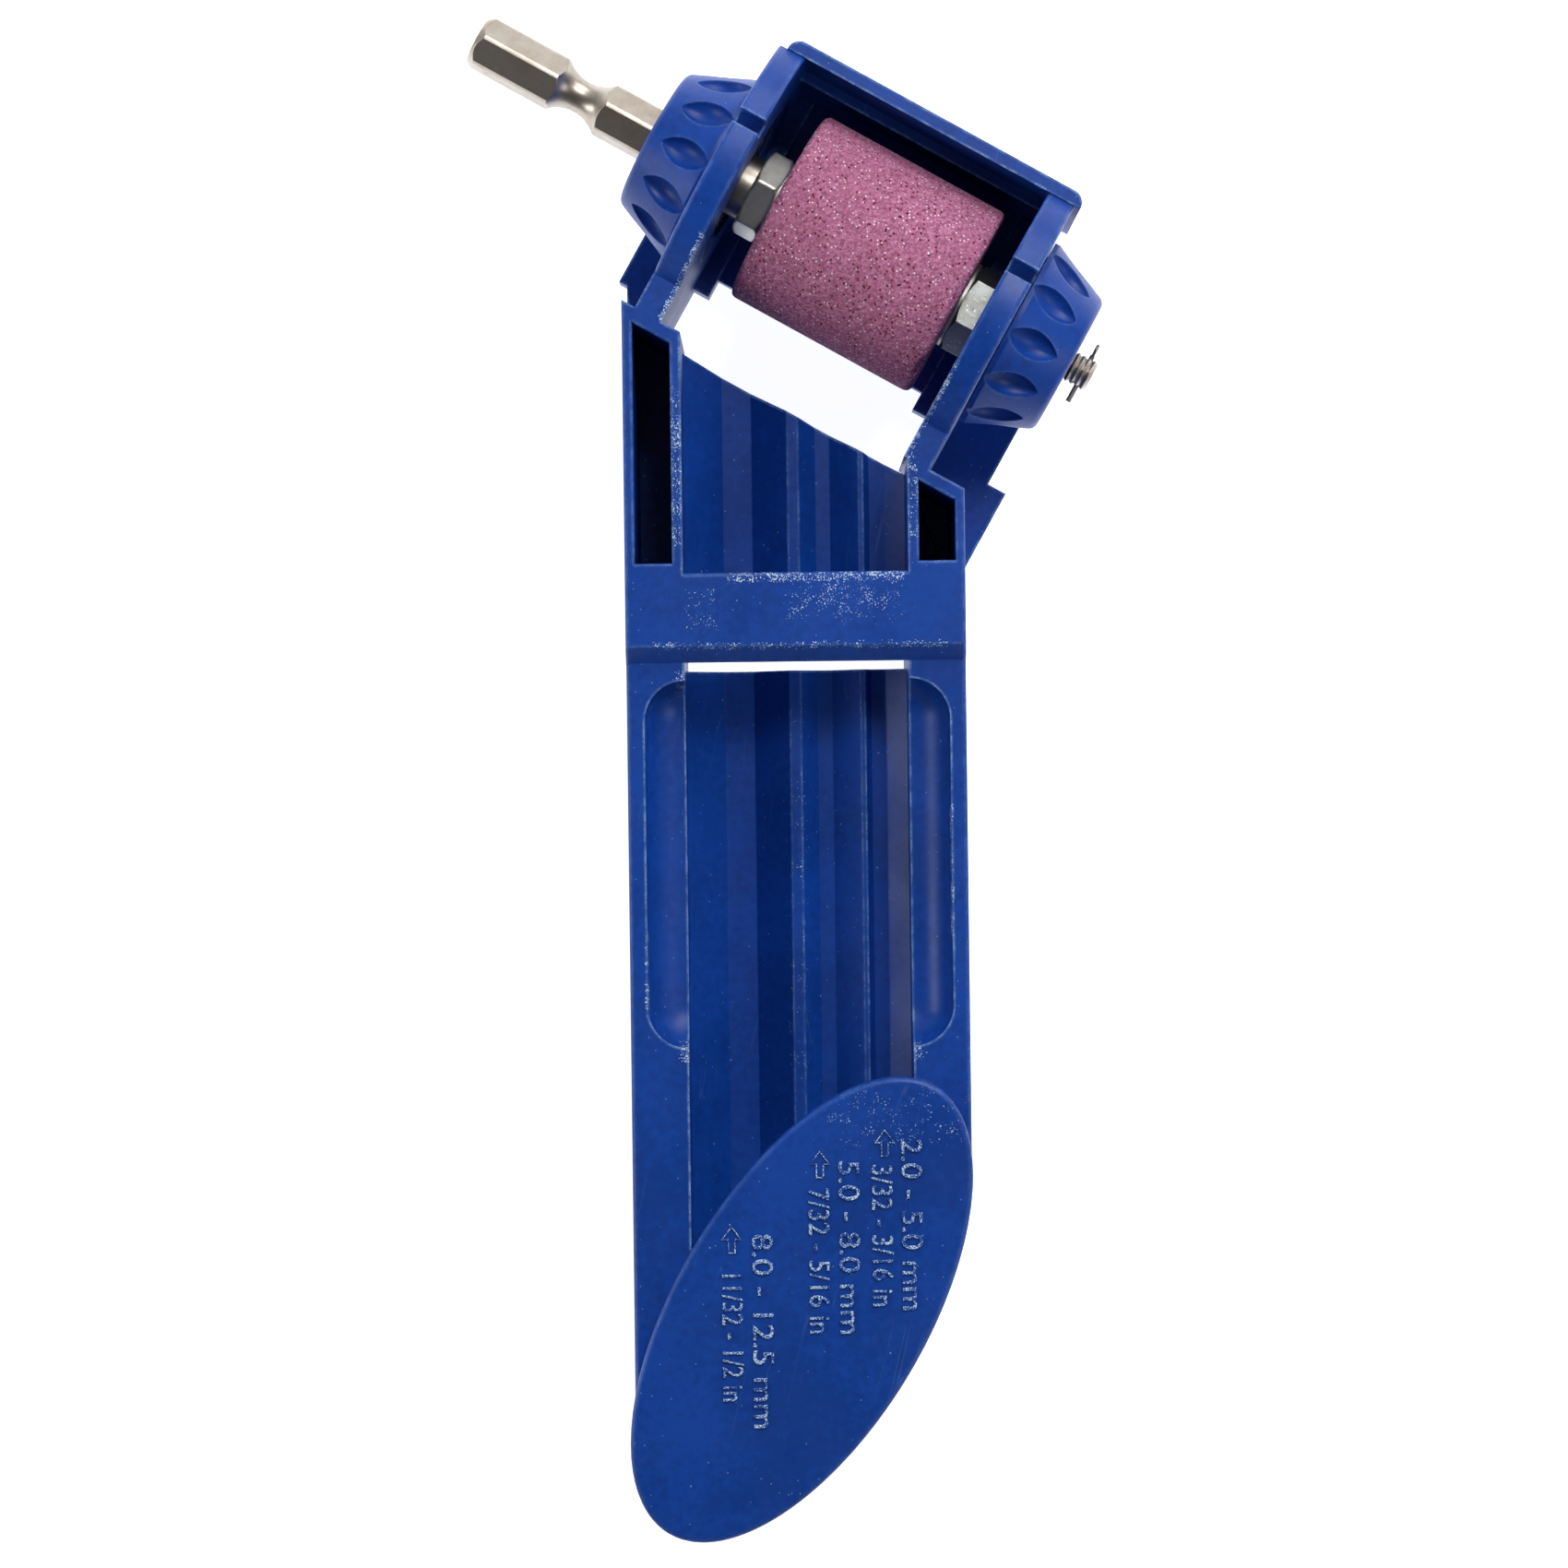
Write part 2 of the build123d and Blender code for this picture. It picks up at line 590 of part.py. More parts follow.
left_seat = LEFT_BEARING["outside"] / 2 + PRESS_GAP
left_bearing_out = LEFT_BEARING_IN + LEFT_BEARING["width"]
with BuildPart() as knob_left:
    add(knob_blank(-1))
    bore(-1, [
        (CHEEK_IN - 1, left_bearing_out, left_seat),
        (LEFT_BEARING_IN - RETAINER_THICKNESS - GROOVE_PLAY, LEFT_BEARING_IN, left_seat + RETAINER_GROOVE),
        (left_bearing_out - 0.1, KNOB_CAVITY_END, LEFT_CAVITY_RADIUS),
        (SHAFT_HOLE_START, KNOB_FACE + 1, LEFT_HOLE_RADIUS),
    ])

save(knob_left.part, "knob_left")

right_seat = RIGHT_BEARING["outside"] / 2 + PRESS_GAP
right_bearing_out = RIGHT_BEARING_IN + RIGHT_BEARING["width"]
with BuildPart() as knob_right:
    add(knob_blank(1))
    bore(1, [
        (CHEEK_IN - 1, LEFT_BEARING_IN + 0.6, RIGHT_MOUTH_RADIUS),
        (CHEEK_IN - 1, right_bearing_out, right_seat),
        (RIGHT_BEARING_IN - RETAINER_THICKNESS - GROOVE_PLAY, RIGHT_BEARING_IN, right_seat + RETAINER_GROOVE),
        (right_bearing_out - 0.1, KNOB_CAVITY_END, RIGHT_CAVITY_RADIUS),
        (SHAFT_HOLE_START, KNOB_FACE + 1, RIGHT_HOLE_RADIUS),
    ])

save(knob_right.part, "knob_right")


# ---------------------------------------------------------------- ball bearings
def ring_profile(start, width, low, high):
    """A rectangle between two radii, beside the axis, to be revolved into a ring."""
    with Locations((start + width / 2, (low + high) / 2)):
        Rectangle(width, high - low)


def make_bearing(size, side, inner_end, prefix):
    """One shielded deep-groove bearing as five pieces: two rings, balls, cage and shields."""
    plane = axle_plane(AXLE_Z, side, HEAD_CENTRE_U)
    width = size["width"]
    bore_radius = size["bore"] / 2
    outside_radius = size["outside"] / 2
    pitch_radius = (bore_radius + outside_radius) / 2
    ball_radius = size["ball"] / 2
    shoulder = ball_radius * 0.72       # half the radial gap between the rings' shoulders
    middle = inner_end + width / 2
    groove_radius = ball_radius * 1.02

    with BuildPart() as inner_ring:
        with BuildSketch(plane):
            ring_profile(inner_end, width, bore_radius, pitch_radius - shoulder)
            with Locations((middle, pitch_radius)):
                Circle(groove_radius, mode=Mode.SUBTRACT)
        revolve(axis=SPINDLE_AXIS)
    save(inner_ring.part, f"{prefix}_bearing_inner_ring")

    with BuildPart() as outer_ring:
        with BuildSketch(plane):
            ring_profile(inner_end, width, pitch_radius + shoulder, outside_radius)
            with Locations((middle, pitch_radius)):
                Circle(groove_radius, mode=Mode.SUBTRACT)
        revolve(axis=SPINDLE_AXIS)
    save(outer_ring.part, f"{prefix}_bearing_outer_ring")

    seats = []
    x, y = head_xy(HEAD_CENTRE_U + side * middle, 0)
    for i in range(size["balls"]):
        around = radians(i * 360 / size["balls"])
        outwards = W_DIR * cos(around) + Vector(0, 0, 1) * sin(around)
        centre = Vector(x, y, AXLE_Z) + outwards * pitch_radius
        seats.append(Plane(origin=centre, x_dir=U_DIR, z_dir=outwards))
    with BuildPart() as balls:
        with Locations(*seats):
            Sphere(ball_radius)
    save(balls.part, f"{prefix}_bearing_balls")

    cage_half = ball_radius * 1.25
    with BuildPart() as cage:
        with BuildSketch(plane):
            ring_profile(middle - cage_half, 2 * cage_half, pitch_radius - shoulder * 0.45,
                         pitch_radius + shoulder * 0.45)
        revolve(axis=SPINDLE_AXIS)
        with Locations(*seats):
            Cylinder(ball_radius + 0.05, 2 * shoulder, mode=Mode.SUBTRACT)
    save(cage.part, f"{prefix}_bearing_cage")

    shield = 0.2
    with BuildPart() as shields:
        with BuildSketch(plane):
            for start in (inner_end + 0.15, inner_end + width - 0.15 - shield):
                ring_profile(start, shield, pitch_radius - shoulder + 0.15,
                             pitch_radius + shoulder - PRESS_GAP)
        revolve(axis=SPINDLE_AXIS)
    save(shields.part, f"{prefix}_bearing_shields")


make_bearing(LEFT_BEARING, -1, LEFT_BEARING_IN, "left")
make_bearing(RIGHT_BEARING, 1, RIGHT_BEARING_IN, "right")


# ---------------------------------------------------------------- retaining rings
def open_ring(plane, axis, start, width, inner, outer, gap_turn):
    """A flat spring ring with a gap, between two radii."""
    with BuildPart() as ring:
        with BuildSketch(plane):
            ring_profile(start, width, inner, outer)
        revolve(axis=axis, revolution_arc=330)
    return ring.part.rotate(axis, gap_turn)


left_retainer = open_ring(
    axle_plane(AXLE_Z, -1, HEAD_CENTRE_U), SPINDLE_AXIS,
    LEFT_BEARING_IN - RETAINER_THICKNESS - CLIP_PLAY, RETAINER_THICKNESS,
    LEFT_RETAINER_BORE, left_seat + RETAINER_GROOVE - GROOVE_PLAY, RETAINER_TURN)
save(left_retainer, "retaining_ring_left")

right_retainer = open_ring(
    axle_plane(AXLE_Z, 1, HEAD_CENTRE_U), SPINDLE_AXIS,
    RIGHT_BEARING_IN - RETAINER_THICKNESS - CLIP_PLAY, RETAINER_THICKNESS,
    RIGHT_RETAINER_BORE, right_seat + RETAINER_GROOVE - GROOVE_PLAY, RETAINER_TURN)
save(right_retainer, "retaining_ring_right")

clip_groove_radius = JOURNAL_RADIUS - CLIP_GROOVE
clip_start = left_bearing_out + CLIP_PLAY
arbor_clip = open_ring(
    axle_plane(AXLE_Z, -1, HEAD_CENTRE_U), SPINDLE_AXIS,
    clip_start, RETAINER_THICKNESS, clip_groove_radius + PRESS_GAP, CLIP_RADIUS, CLIP_TURN)
save(arbor_clip, "arbor_circlip")


# ---------------------------------------------------------------- spindle: arbor, wheel, nuts, washers, pin
wheel_half = WHEEL_LENGTH / 2
nut_inner = wheel_half + WASHER_THICKNESS
nut_outer = nut_inner + NUT_HEIGHT
collar_left_u = HEAD_CENTRE_U - LEFT_BEARING_IN
right_inner_face_u = HEAD_CENTRE_U + RIGHT_BEARING_IN
thread_end_u = nut_outer + 0.6
hex_radius = SHANK_FLATS / 2 / cos(radians(30))
corner_radius = hex_radius - CORNER_TURNED

with BuildPart() as arbor:
    # hexagonal shank with turned corners and chamfered tip
    with BuildSketch(across(SHANK_TIP_U)):
        with Locations((0, AXLE_Z)):
            RegularPolygon(hex_radius, 6, rotation=90 - SHANK_ROLL)
    extrude(amount=SHANK_INNER_U - SHANK_TIP_U)
    with BuildSketch(axle_plane(AXLE_Z)):
        with BuildLine():
            Polyline(
                (SHANK_TIP_U, 0),
                (SHANK_TIP_U, corner_radius - SHANK_CHAMFER[1]),
                (SHANK_TIP_U + SHANK_CHAMFER[0], corner_radius),
                (NECK[0], corner_radius),
            )
            Spline(
                (NECK[0], corner_radius),
                (NECK[1], NECK_RADIUS + 0.12),
                (NECK[2], NECK_RADIUS + 0.12),
                (NECK[3], corner_radius),
            )
            Polyline(
                (NECK[3], corner_radius),
                (SHANK_INNER_U, corner_radius),
                (SHANK_INNER_U, 0),
                (SHANK_TIP_U, 0),
            )
        make_face()
    revolve(axis=SPINDLE_AXIS, mode=Mode.INTERSECT)
    # journals, collar, threaded middle and tip
    with BuildSketch(axle_plane(AXLE_Z)):
        with BuildLine():
            Polyline(
                (SHANK_INNER_U, 0),
                (SHANK_INNER_U, JOURNAL_RADIUS),
                (collar_left_u, JOURNAL_RADIUS),
                (collar_left_u, COLLAR_RADIUS),
                (collar_left_u + COLLAR_WIDTH, COLLAR_RADIUS),
                (collar_left_u + COLLAR_WIDTH, JOURNAL_RADIUS),
                (-nut_outer, JOURNAL_RADIUS),
                (-nut_outer, THREAD_RADIUS - 0.02),
                (thread_end_u, THREAD_RADIUS - 0.02),
                (thread_end_u, THREAD_RADIUS - 0.4),
                (right_inner_face_u, THREAD_RADIUS - 0.4),
                (right_inner_face_u, TIP_RADIUS - PRESS_GAP),
                (TIP_U - 0.4, TIP_RADIUS - PRESS_GAP),
                (TIP_U, TIP_RADIUS - 0.4),
                (TIP_U, 0),
                close=True,
            )
        make_face()
    revolve(axis=SPINDLE_AXIS)
    # groove for the circlip
    clip_u = HEAD_CENTRE_U - clip_start - RETAINER_THICKNESS / 2
    with BuildSketch(axle_plane(AXLE_Z)):
        with Locations((clip_u, JOURNAL_RADIUS)):
            Rectangle(RETAINER_THICKNESS + 2 * CLIP_PLAY, 2 * CLIP_GROOVE)
    revolve(axis=SPINDLE_AXIS, mode=Mode.SUBTRACT)
    # thread on the tip, drawn as plain rings
    thread_start = TIP_U - 0.5 - TIP_THREADS * TIP_THREAD_PITCH
    with BuildSketch(axle_plane(AXLE_Z)):
        for i in range(TIP_THREADS):
            ring_u = thread_start + i * TIP_THREAD_PITCH
            with BuildLine():
                Polyline(
                    (ring_u, TIP_RADIUS),
                    (ring_u + TIP_THREAD_PITCH / 2, TIP_RADIUS - TIP_THREAD_DEPTH),
                    (ring_u + TIP_THREAD_PITCH, TIP_RADIUS),
                    close=True,
                )
            make_face()
    revolve(axis=SPINDLE_AXIS, mode=Mode.SUBTRACT)
    # cross hole for the split pin
    with BuildSketch(Plane(origin=(*head_xy(PIN_U, -TIP_RADIUS - 1), AXLE_Z), x_dir=U_DIR, z_dir=W_DIR)):
        Circle(PIN_RADIUS + 0.05)
    extrude(amount=2 * TIP_RADIUS + 2, mode=Mode.SUBTRACT)

save(arbor.part, "arbor")

with BuildPart() as grinding_wheel:
    with BuildSketch(axle_plane(AXLE_Z)):
        with Locations((0, (WHEEL_DIA + WHEEL_BORE) / 4)):
            Rectangle(WHEEL_LENGTH, (WHEEL_DIA - WHEEL_BORE) / 2)
    revolve(axis=SPINDLE_AXIS)
    outer_rims = edges().filter_by(GeomType.CIRCLE).sort_by(SortBy.RADIUS)[-2:]
    fillet(outer_rims, WHEEL_EDGE)

save(grinding_wheel.part, "grinding_wheel")


def make_nut(start, roll):
    """A thin hexagon nut whose corners are turned down at both faces."""
    nut_corner = NUT_FLATS / 2 / cos(radians(30))
    with BuildPart() as nut:
        with BuildSketch(across(start)):
            with Locations((0, AXLE_Z)):
                RegularPolygon(nut_corner, 6, rotation=90 - roll)
                Circle(THREAD_RADIUS, mode=Mode.SUBTRACT)
        extrude(amount=NUT_HEIGHT)
        with BuildSketch(axle_plane(AXLE_Z, 1, start)):
            with BuildLine():
                Polyline(
                    (0, 0),
                    (0, nut_corner - NUT_CHAMFER[1]),
                    (NUT_CHAMFER[0], nut_corner),
                    (NUT_HEIGHT - NUT_CHAMFER[0], nut_corner),
                    (NUT_HEIGHT, nut_corner - NUT_CHAMFER[1]),
                    (NUT_HEIGHT, 0),
                    close=True,
                )
            make_face()
        revolve(axis=SPINDLE_AXIS, mode=Mode.INTERSECT)
    return nut.part


def make_washer(start):
    """A flat washer between a nut and the wheel."""
    with BuildPart() as washer:
        with BuildSketch(across(start)):
            with Locations((0, AXLE_Z)):
                Circle(WASHER_RADIUS)
                Circle(THREAD_RADIUS + 0.1, mode=Mode.SUBTRACT)
        extrude(amount=WASHER_THICKNESS)
    return washer.part


save(make_nut(-nut_outer, LEFT_NUT_ROLL), "nut_left")
save(make_nut(nut_inner, RIGHT_NUT_ROLL), "nut_right")
save(make_washer(-nut_inner), "washer_left")
save(make_washer(wheel_half), "washer_right")

eye_w = PIN_LENGTH / 2 - PIN_EYE_RADIUS - PIN_WIRE
leg_length = eye_w - PIN_EYE_RADIUS + PIN_LENGTH / 2
pin_plane = Plane(origin=(*head_xy(PIN_U, -PIN_LENGTH / 2), AXLE_Z), x_dir=U_DIR, z_dir=W_DIR)
eye_plane = Plane(origin=(*head_xy(PIN_U, eye_w), AXLE_Z), x_dir=W_DIR, z_dir=(0, 0, 1))
with BuildPart() as cotter_pin:
    with BuildSketch(pin_plane):
        Circle(PIN_RADIUS)
    extrude(amount=leg_length)
    # slit between the two legs, open at their ends
    with BuildSketch(pin_plane):
        Rectangle(3 * PIN_RADIUS, 0.12)
    extrude(amount=leg_length - 0.8, mode=Mode.SUBTRACT)
    # eye at the head end
    with BuildSketch(eye_plane):
        with Locations((PIN_EYE_RADIUS, 0)):
            Circle(PIN_WIRE)
    revolve(axis=Axis((*head_xy(PIN_U, eye_w), AXLE_Z), U_DIR))

save(cotter_pin.part, "cotter_pin")
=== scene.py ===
"""Looks of the drill bit sharpener: materials, grinding wheel, size marks, light and camera.

Everything is in metres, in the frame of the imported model: X = 0 on the trough's centre line,
Y = 0 level with the grinding wheel, Z = 0 on the back plane and +Z towards the user.
"""

import json
import math

import bmesh
import bpy
from mathutils import Matrix, Vector, noise


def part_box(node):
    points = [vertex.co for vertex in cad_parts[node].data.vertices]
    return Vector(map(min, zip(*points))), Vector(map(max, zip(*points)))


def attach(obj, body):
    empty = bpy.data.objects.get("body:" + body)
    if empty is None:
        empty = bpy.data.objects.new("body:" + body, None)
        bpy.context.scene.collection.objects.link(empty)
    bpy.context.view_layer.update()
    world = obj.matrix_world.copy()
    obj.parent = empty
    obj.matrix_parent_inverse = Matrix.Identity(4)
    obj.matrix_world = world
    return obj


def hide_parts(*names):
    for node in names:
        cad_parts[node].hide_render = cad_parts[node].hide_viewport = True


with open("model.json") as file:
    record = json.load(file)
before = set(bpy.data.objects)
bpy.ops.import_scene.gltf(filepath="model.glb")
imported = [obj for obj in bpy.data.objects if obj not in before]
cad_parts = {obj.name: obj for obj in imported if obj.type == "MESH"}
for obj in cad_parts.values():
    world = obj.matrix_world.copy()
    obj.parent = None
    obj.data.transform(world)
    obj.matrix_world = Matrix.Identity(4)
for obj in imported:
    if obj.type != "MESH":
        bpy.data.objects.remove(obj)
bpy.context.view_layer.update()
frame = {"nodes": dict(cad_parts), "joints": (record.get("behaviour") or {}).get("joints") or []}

MM = 0.001
# the head's own directions: U along the axle, as the spindle's joint gives it, and W across it
joints = {joint["name"]: joint for joint in frame["joints"]}
U_DIR = Vector(joints["spindle_spin"]["axis"]).normalized()
W_DIR = Vector((-U_DIR.y, U_DIR.x, 0))
wheel_low, wheel_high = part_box("grinding_wheel")
WHEEL_MIDDLE = (wheel_low + wheel_high) / 2


# ---------------------------------------------------------------- node trees
class Tree:
    """A material and its node tree. Most calls add a few nodes and give back an output socket."""

    def __init__(self, name):
        self.material = bpy.data.materials.new(name)
        self.material.use_nodes = True
        self.nodes = self.material.node_tree.nodes
        self.links = self.material.node_tree.links
        self.nodes.clear()
        self.place = self.node("TexCoord").outputs["Object"]

    def node(self, kind, **settings):
        made = self.nodes.new("ShaderNode" + kind)
        for key, value in settings.items():
            setattr(made, key, value)
        return made

    def plug(self, socket, value):
        if isinstance(value, bpy.types.NodeSocket):
            self.links.new(value, socket)
        else:
            socket.default_value = value

    def math(self, operation, a, b=0.0):
        made = self.node("Math", operation=operation)
        self.plug(made.inputs[0], a)
        self.plug(made.inputs[1], b)
        return made.outputs[0]

    def vector(self, operation, a, b=(0, 0, 0)):
        """A vector operation, which gives a number for DOT_PRODUCT and a vector for the others."""
        made = self.node("VectorMath", operation=operation)
        self.plug(made.inputs[0], a)
        self.plug(made.inputs[1], b)
        return made.outputs["Value" if operation == "DOT_PRODUCT" else "Vector"]

    def fade(self, value, low, high, to_low=0.0, to_high=1.0):
        """value brought from the range low..high to the range to_low..to_high, smoothly."""
        made = self.node("MapRange", interpolation_type="SMOOTHSTEP")
        for socket, number in zip(made.inputs[:5], (value, low, high, to_low, to_high)):
            self.plug(socket, number)
        return made.outputs[0]

    def mix(self, share, a, b):
        """Colour a where share is 0 and colour b where it is 1."""
        made = self.node("Mix", data_type="RGBA")
        self.plug(made.inputs["Factor"], share)
        self.plug(made.inputs[6], a)
        self.plug(made.inputs[7], b)
        return made.outputs[2]

    def stretched(self, along, length):
        """Object coordinates in which a pattern comes out longer by this factor along one direction."""
        turn = Vector(along).to_track_quat("X", "Z").inverted().to_euler()
        made = self.node("Mapping", vector_type="POINT")
        self.plug(made.inputs["Vector"], self.place)
        made.inputs["Rotation"].default_value = turn
        return self.vector("MULTIPLY", made.outputs[0], (1 / length, 1, 1))

    def noise(self, scale, detail=2.0, roughness=0.5, place=None):
        made = self.node("TexNoise")
        self.plug(made.inputs["Vector"], place or self.place)
        made.inputs["Scale"].default_value = scale
        made.inputs["Detail"].default_value = detail
        made.inputs["Roughness"].default_value = roughness
        return made.outputs[0]

    def cells(self, scale, output="Distance"):
        made = self.node("TexVoronoi")
        self.plug(made.inputs["Vector"], self.place)
        made.inputs["Scale"].default_value = scale
        return made.outputs[output]

    def specks(self, scale, size, share):
        """Round specks: one per cell at most, in the given share of the cells."""
        near = self.fade(self.cells(scale), size, size * 0.6)
        chosen = self.vector("DOT_PRODUCT", self.cells(scale, "Color"), (1, 0, 0))
        return self.math("MULTIPLY", near, self.math("LESS_THAN", chosen, share))

    def head_place(self):
        """Position in the head's own frame: along the axle, across it, and Z, from the wheel's middle."""
        away = self.vector("SUBTRACT", self.place, (WHEEL_MIDDLE.x, WHEEL_MIDDLE.y, 0))
        place = self.node("CombineXYZ")
        for socket, direction in zip(place.inputs, (U_DIR, W_DIR, (0, 0, 1))):
            self.plug(socket, self.vector("DOT_PRODUCT", away, direction))
        return place.outputs[0]

    def inside(self, place, low, high, soft):
        """1 inside the box from low to high, fading to 0 over the distance soft outside it."""
        middle = (Vector(low) + Vector(high)) / 2
        half = (Vector(high) - Vector(low)) / 2
        away = self.vector("ABSOLUTE", self.vector("SUBTRACT", place, middle))
        parts = self.node("SeparateXYZ")
        self.plug(parts.inputs[0], self.vector("SUBTRACT", away, half))
        farthest = self.math("MAXIMUM", self.math("MAXIMUM", *parts.outputs[:2]), parts.outputs[2])
        return self.fade(farthest, soft, 0.0)

    def edge_normal(self, radius):
        """The surface's normal with its edges rounded by this radius."""
        made = self.node("Bevel", samples=6)
        made.inputs["Radius"].default_value = radius
        return made.outputs[0]

    def convex_edges(self, reach, full):
        """1 on outside edges, falling to 0 at about reach from them."""
        made = self.node("AmbientOcclusion", inside=True, only_local=True, samples=6)
        made.inputs["Distance"].default_value = reach
        return self.fade(made.outputs["AO"], 1.0, full)

    def bump(self, height, strength, distance, normal=None):
        made = self.node("Bump")
        made.inputs["Strength"].default_value = strength
        made.inputs["Distance"].default_value = distance
        self.plug(made.inputs["Height"], height)
        if normal is not None:
            self.plug(made.inputs["Normal"], normal)
        return made.outputs[0]

    def shade(self, **inputs):
        """The Principled shader at the tree's end, with its inputs by name."""
        shader = self.node("BsdfPrincipled")
        for key, value in inputs.items():
            self.plug(shader.inputs[key.replace("_", " ")], value)
        output = self.node("OutputMaterial")
        self.links.new(shader.outputs[0], output.inputs["Surface"])
        return self.material


# ---------------------------------------------------------------- materials
def worn_and_highlit_edges(t, clumps, crumbs, wear):
    """Lighter outside edges: rubbed, with a painted highlight along them, broken up by the clumps and
    crumbs.
    """
    rub_and_highlight = t.math("MULTIPLY", t.convex_edges(0.38 * MM, 0.70), t.fade(clumps, 0.38, 0.62, 0.25, 1.0))
    return t.math("MULTIPLY", rub_and_highlight, t.fade(crumbs, 0.42, 0.58, 0.45 * wear, wear))


def dust_and_scratches(t, wear):
    """Faint round specks all over, and hairline scratches that run along the trough."""
    dust = t.math("MAXIMUM", t.specks(900, 0.09, 0.45 * wear), t.specks(420, 0.06, 0.45 * wear))
    lines = t.noise(230, 2, 0.4, t.stretched((0.25, 1, 0), 16))
    scratches = t.fade(t.math("ABSOLUTE", t.math("SUBTRACT", lines, 0.5)), 0.0045, 0.0)
    scratches = t.math("MULTIPLY", scratches, t.fade(t.noise(70, 2), 0.52, 0.66))
    return t.math("MAXIMUM", t.math("MULTIPLY", dust, 0.6), t.math("MULTIPLY", scratches, 0.12 * wear))


def white_chips(t, clumps, crumbs, scuffs_and_highlights, head_scuffed):
    """Crumbly white chips inside the given boxes, closer together where a box is stronger. Most boxes are
    scuffs; a few are painted highlights.
    """
    sparse = t.math("ADD", t.math("MULTIPLY", clumps, 0.35), t.math("MULTIPLY", crumbs, 0.65))
    placed = [(t.place, box) for box in scuffs_and_highlights]
    if head_scuffed:
        head_place = t.head_place()
        placed += [(head_place, box) for box in head_scuffed]
    chips = None
    for place, (low, high, soft, strength) in placed:
        there = t.inside(place, low, high, soft)
        reach = t.math("ADD", sparse, t.math("MULTIPLY", there, 0.10 * strength))
        found = t.math("MULTIPLY", t.fade(reach, 0.668, 0.700), there)
        chips = found if chips is None else t.math("MAXIMUM", chips, found)
    return chips


def blue_plastic(name, scuffs_and_highlights=(), head_scuffed=(), wear=1.0):
    """Moulded blue plastic: orange peel and fine grain, worn edges with a painted highlight on them, dust,
    scratches, and white chips in the given boxes, which are scuffs and in places painted highlights.

    Each box, scuff and painted highlight alike, is a low and high corner, with the distance over which it
    fades and its strength.
    Those in head_scuffed are given in the head's frame.
    """
    t = Tree(name)
    mottle = t.math("MULTIPLY", t.noise(60, 3, 0.6), 0.6)
    mottle = t.math("ADD", mottle, t.math("MULTIPLY", t.noise(900, 2, 0.6), 0.4))
    colour = t.mix(t.fade(mottle, 0.38, 0.62), (0.0026, 0.038, 0.245, 1.0), (0.0040, 0.054, 0.330, 1.0))
    clumps = t.noise(620, 3, 0.6)
    crumbs = t.noise(5200, 1, 0.6)
    # worn outside edges, with a painted highlight along them
    rub_and_highlight = t.math("MULTIPLY", worn_and_highlit_edges(t, clumps, crumbs, wear), 0.95)
    marks = t.math("MAXIMUM", rub_and_highlight, dust_and_scratches(t, wear))
    # lighter blue for dust, scratches and worn edges, and the painted highlight along the edges
    colour = t.mix(t.math("MULTIPLY", marks, 0.85), colour, (0.24, 0.42, 0.72, 1.0))
    if scuffs_and_highlights:
        # white chips: scuffs, and in some boxes a painted highlight
        chips = white_chips(t, clumps, crumbs, scuffs_and_highlights, head_scuffed)
        marks = t.math("MAXIMUM", marks, chips)
        colour = t.mix(t.math("MULTIPLY", chips, 0.9), colour, (0.58, 0.76, 0.90, 1.0))
    height = t.math("ADD", t.math("MULTIPLY", t.noise(3200, 2, 0.5), 0.22), t.noise(260, 2, 0.5))
    height = t.math("ADD", height, t.math("MULTIPLY", marks, 0.7))
    normal = t.bump(height, 0.30, 0.02 * MM, t.edge_normal(0.2 * MM))
    gloss = t.fade(t.noise(110, 3, 0.6), 0.3, 0.7, 0.36, 0.44)
    gloss = t.math("ADD", gloss, t.math("MULTIPLY", marks, 0.25))
    return t.shade(Base_Color=colour, Roughness=gloss, Normal=normal, IOR=1.45, Specular_IOR_Level=0.36)


def plated_steel(name, tone, roughness, along, dents=0.0, stained=0.35, edge=0.15 * MM):
    """Plated steel: drawing lines along one direction, cloudy stains and, where dented, bright nicks."""
    t = Tree(name)
    streaks = t.noise(1500, 3, 0.6, t.stretched(along, 25))
    clouds = t.noise(260, 4, 0.6)
    darker = (tone[0] * 0.80, tone[1] * 0.77, tone[2] * 0.72, 1.0)
    colour = t.mix(t.fade(clouds, 0.38, 0.70), tone, darker)
    stains = t.fade(t.noise(900, 4, 0.75), 0.60, 0.74)
    colour = t.mix(t.math("MULTIPLY", stains, stained), colour, (0.12, 0.10, 0.085, 1.0))
    gloss = t.math("ADD", roughness - 0.04, t.math("MULTIPLY", clouds, 0.10))
    gloss = t.math("ADD", gloss, t.math("MULTIPLY", stains, 0.4 * stained))
    height = t.math("ADD", t.math("MULTIPLY", streaks, 0.06), t.math("MULTIPLY", clouds, 0.10))
    if dents:
        nicks = t.fade(t.noise(1500, 3, 0.7), 0.50, 0.66)
        height = t.math("ADD", height, t.math("MULTIPLY", nicks, dents))
        colour = t.mix(t.math("MULTIPLY", t.specks(2200, 0.26, 0.30), 0.6), colour, (0.95, 0.95, 0.95, 1.0))
    normal = t.bump(height, 0.5, 0.02 * MM, t.edge_normal(edge))
    return t.shade(Base_Color=colour, Metallic=1.0, Roughness=gloss, Normal=normal)


